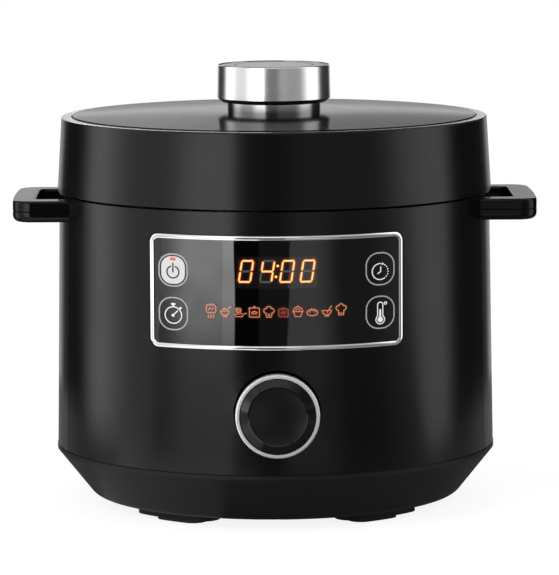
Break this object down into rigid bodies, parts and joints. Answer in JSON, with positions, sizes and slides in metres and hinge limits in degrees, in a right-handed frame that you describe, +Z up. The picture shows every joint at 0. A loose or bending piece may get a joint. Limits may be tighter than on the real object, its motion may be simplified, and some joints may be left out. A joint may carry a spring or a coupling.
{
  "type": "electric pressure cooker",
  "caption": "Round electric pressure cooker with a curved control panel, push-and-turn dial, side handles, lift-out pot and a locking lid turned by a central knob.",
  "frame": {"origin": "on the table under the body's axis, in the middle of the overall box", "axes": "+Z up, -Y towards the front with panel and dial, +X to the right handle as seen from the front"},
  "size_m": [0.3726, 0.338, 0.3131],
  "materials": {
    "satin_black": "satin black moulded plastic",
    "lid_top": "satin gloss black plate",
    "handle_black": "fine-grained black plastic",
    "inner_black": "plain black plastic",
    "chrome": "bright chrome plating",
    "knob_face": "satin silver plate",
    "silver": "satin silver",
    "window": "glossy black window",
    "key_ring": "light grey outline",
    "lit_key": "lit white key",
    "dark_key": "glossy black key",
    "dial_black": "glossy black dial with a matt dish",
    "rubber": "black rubber",
    "silicone": "pale silicone",
    "pot_coating": "dark non-stick coating",
    "steel": "sheet and turned steel",
    "screw": "zinc-plated screws",
    "cast_aluminium": "cast aluminium",
    "brass": "plain bearing",
    "board": "green circuit board",
    "module": "black module",
    "acetal": "white acetal",
    "smoke": "smoked clear plastic"
  },
  "bodies": {
    "housing": {"base_pan": "satin_black", "foot_pads": "rubber", "base_screws": "screw", "well_stands": "steel", "front_shell": "satin_black", "rear_shell": "satin_black", "top_collar": "inner_black", "lock_collar": "steel", "inner_well": "steel", "heating_element": "steel", "heating_plate": "cast_aluminium", "sensor_spring": "steel", "sensor_holder": "steel", "power_board": "board", "control_board": "board", "display_module": "module", "panel_frame": "chrome", "panel_window": "window", "panel_carrier": "inner_black", "button_rings": "key_ring", "dial_encoder": "module", "dial_housing": "inner_black", "right_handle_upper": "handle_black", "right_handle_lower": "handle_black", "left_handle_upper": "handle_black", "left_handle_lower": "handle_black", "handle_screws": "screw", "mains_inlet": "module", "inlet_pins": "brass", "cup_bracket": "inner_black"},
    "lid": {"lid_skirt": "satin_black", "lid_disc": "lid_top", "lid_frame": "inner_black", "lid_screws": "screw", "knob_collar": "silver", "spindle_bush": "brass", "inner_lid": "steel", "lid_gasket": "silicone", "vent_pipe": "steel", "steam_filter": "inner_black"},
    "lock": {"lock_ring": "steel", "driver_plate": "steel", "lock_spindle": "steel", "knob_core": "inner_black", "knob_sleeve": "chrome", "knob_cap": "knob_face"},
    "steam_valve": {"steam_valve": "inner_black"},
    "float_valve": {"float_pin": "steel"},
    "pot": {"inner_pot": "pot_coating"},
    "sensor": {"sensor_cap": "cast_aluminium"},
    "dial_push": {"dial_slider": "acetal"},
    "dial": {"dial_knob": "dial_black", "dial_ring": "chrome", "dial_shaft": "steel"},
    "power_key": {"power_button": "lit_key"},
    "timer_key": {"timer_button": "dark_key"},
    "delay_key": {"delay_button": "dark_key"},
    "temperature_key": {"temperature_button": "dark_key"},
    "condensate_cup": {"condensate_cup": "smoke"}
  },
  "joints": [
    {"name": "lid_lift", "type": "slide", "parent": "housing", "child": "lid", "axis": [0, 0, 1], "range_m": [0, 0.4]},
    {"name": "knob_turn", "type": "hinge", "parent": "lid", "child": "lock", "pos_m": [0, 0, 0.3131], "axis": [0, 0, -1], "range_deg": [0, 30]},
    {"name": "steam_valve_turn", "type": "hinge", "parent": "lid", "child": "steam_valve", "pos_m": [0, 0.076, 0.2807], "axis": [0, 0, 1], "range_deg": [0, 60]},
    {"name": "float_rise", "type": "slide", "parent": "lid", "child": "float_valve", "axis": [0, 0, 1], "range_m": [0, 0.006]},
    {"name": "pot_lift", "type": "slide", "parent": "housing", "child": "pot", "axis": [0, 0, 1], "range_m": [0, 0.18]},
    {"name": "sensor_rise", "type": "slide", "parent": "housing", "child": "sensor", "axis": [0, 0, 1], "range_m": [0, 0.004], "deforming": ["sensor_spring"]},
    {"name": "dial_press", "type": "slide", "parent": "housing", "child": "dial_push", "axis": [0, 1, 0], "range_m": [0, 0.0015], "stiffness_N_per_m": 1500},
    {"name": "dial_turn", "type": "hinge", "parent": "dial_push", "child": "dial", "pos_m": [0, -0.169, 0.08489], "axis": [0, 1, 0], "continuous": true},
    {"name": "power_press", "type": "slide", "parent": "housing", "child": "power_key", "axis": [0, 1, 0], "range_m": [0, 0.0008], "stiffness_N_per_m": 1500},
    {"name": "timer_press", "type": "slide", "parent": "housing", "child": "timer_key", "axis": [0, 1, 0], "range_m": [0, 0.0008], "stiffness_N_per_m": 1500},
    {"name": "delay_press", "type": "slide", "parent": "housing", "child": "delay_key", "axis": [0, 1, 0], "range_m": [0, 0.0008], "stiffness_N_per_m": 1500},
    {"name": "temperature_press", "type": "slide", "parent": "housing", "child": "temperature_key", "axis": [0, 1, 0], "range_m": [0, 0.0008], "stiffness_N_per_m": 1500},
    {"name": "cup_pull", "type": "slide", "parent": "housing", "child": "condensate_cup", "axis": [0, 1, 0], "range_m": [0, 0.03]}
  ],
  "couplings": [
    {"joint": "pot_lift", "follows": "lid_lift", "ratio": 0.45},
    {"joint": "sensor_rise", "follows": "lid_lift", "ratio": 0.01}
  ]
}
